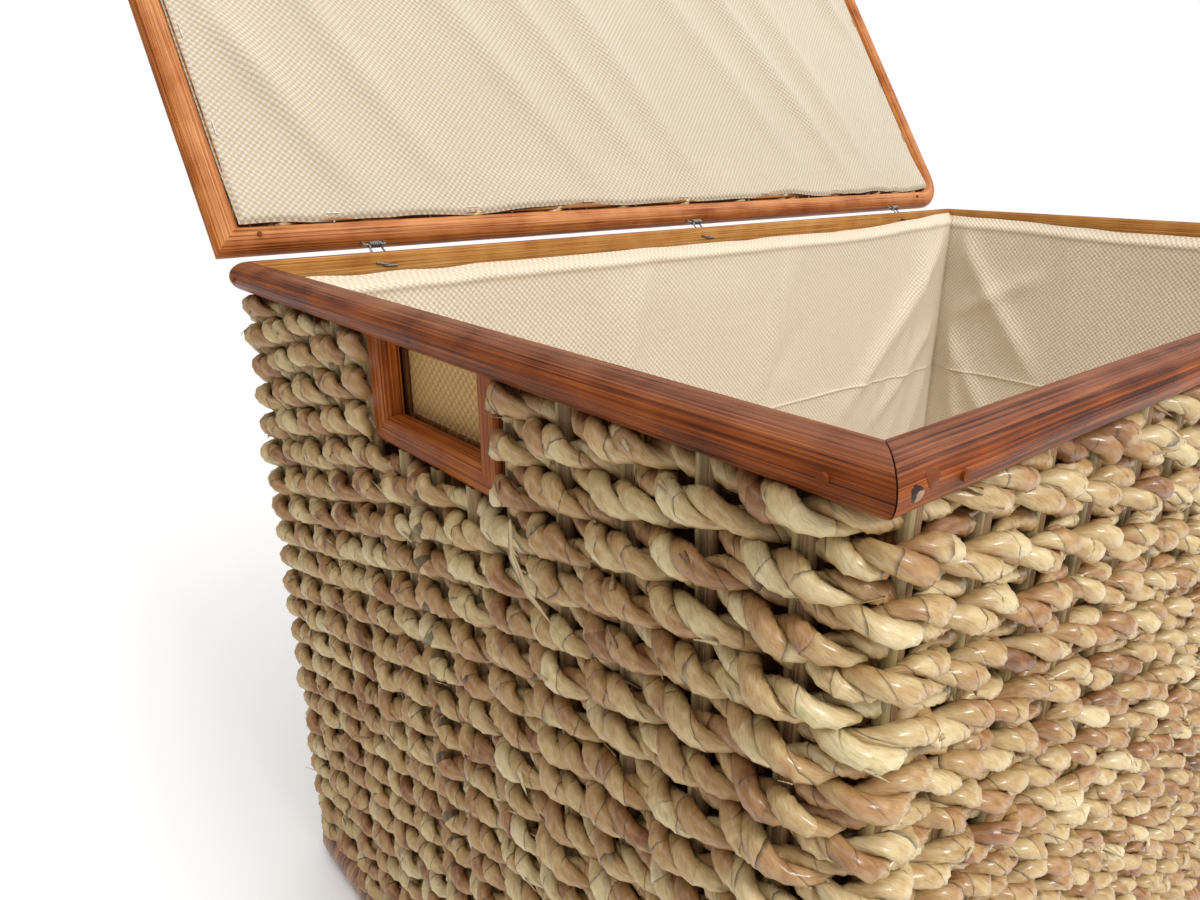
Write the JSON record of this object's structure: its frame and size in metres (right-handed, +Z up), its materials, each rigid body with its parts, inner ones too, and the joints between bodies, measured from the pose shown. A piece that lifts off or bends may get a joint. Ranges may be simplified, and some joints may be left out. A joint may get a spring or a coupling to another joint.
{
  "type": "lined woven laundry basket with hinged lid",
  "caption": "Rectangular laundry basket of rope woven over cane stakes between rattan rails, with a cloth lining, a hand-hold in each end and a lined lid on wire hinges.",
  "frame": {"origin": "middle of the underside, on the surface that the basket stands on", "axes": "+X towards the right-hand end, -Y out of the front, +Z up; the lid is hinged along the back and stands open"},
  "size_m": [0.8016, 0.7416, 0.8339],
  "materials": {
    "rattan": "red-brown varnished split rattan, semi-gloss, worn along the top",
    "wrapped_cane": "pole bound with narrow glossy cane strips, brown and orange",
    "cane_stake": "ridged raw cane, satin",
    "rope": "two-ply twisted dried leaf rope, straw with pinkish brown patches, satin sheen",
    "reed_panel": "thin split reed panel, fine upright grain",
    "lining_cloth": "cream cloth with a fine dotted diamond weave",
    "steel_wire": "dull grey steel wire",
    "nail_steel": "dull, slightly rusted small nail heads"
  },
  "bodies": {
    "basket": {"rim_front": "rattan", "rim_back": "rattan", "rim_left": "rattan", "rim_right": "rattan", "base_rail_front": "wrapped_cane", "base_rail_back": "wrapped_cane", "base_rail_left": "wrapped_cane", "base_rail_right": "wrapped_cane", "bottom_panel": "reed_panel", "stakes_front": "cane_stake", "stakes_back": "cane_stake", "stakes_left": "cane_stake", "stakes_right": "cane_stake", "weave_front": "rope", "weave_back": "rope", "weave_left_lower": "rope", "weave_left_fore": "rope", "weave_left_rear": "rope", "weave_right_lower": "rope", "weave_right_fore": "rope", "weave_right_rear": "rope", "window_posts_left": "rattan", "window_posts_right": "rattan", "window_sill_left": "rattan", "window_sill_right": "rattan", "backing_front": "reed_panel", "backing_back": "reed_panel", "backing_left": "reed_panel", "backing_right": "reed_panel", "lining_front": "lining_cloth", "lining_back": "lining_cloth", "lining_left": "lining_cloth", "lining_right": "lining_cloth", "lining_floor": "lining_cloth", "hinge_coils": "steel_wire", "rim_nails": "nail_steel", "lining_staples": "steel_wire"},
    "lid": {"lid_rail_back": "rattan", "lid_rail_front": "rattan", "lid_rail_left": "rattan", "lid_rail_right": "rattan", "lid_stakes": "cane_stake", "lid_weave": "rope", "lid_backing": "reed_panel", "lid_lining": "lining_cloth", "hinge_pins": "steel_wire", "lid_nails": "nail_steel", "lid_staples": "steel_wire"}
  },
  "joints": [
    {"name": "lid_hinge", "type": "hinge", "parent": "basket", "child": "lid", "pos_m": [0, 0.236, 0.4435], "axis": [1, 0, 0], "range_deg": [0, 123.5]}
  ]
}
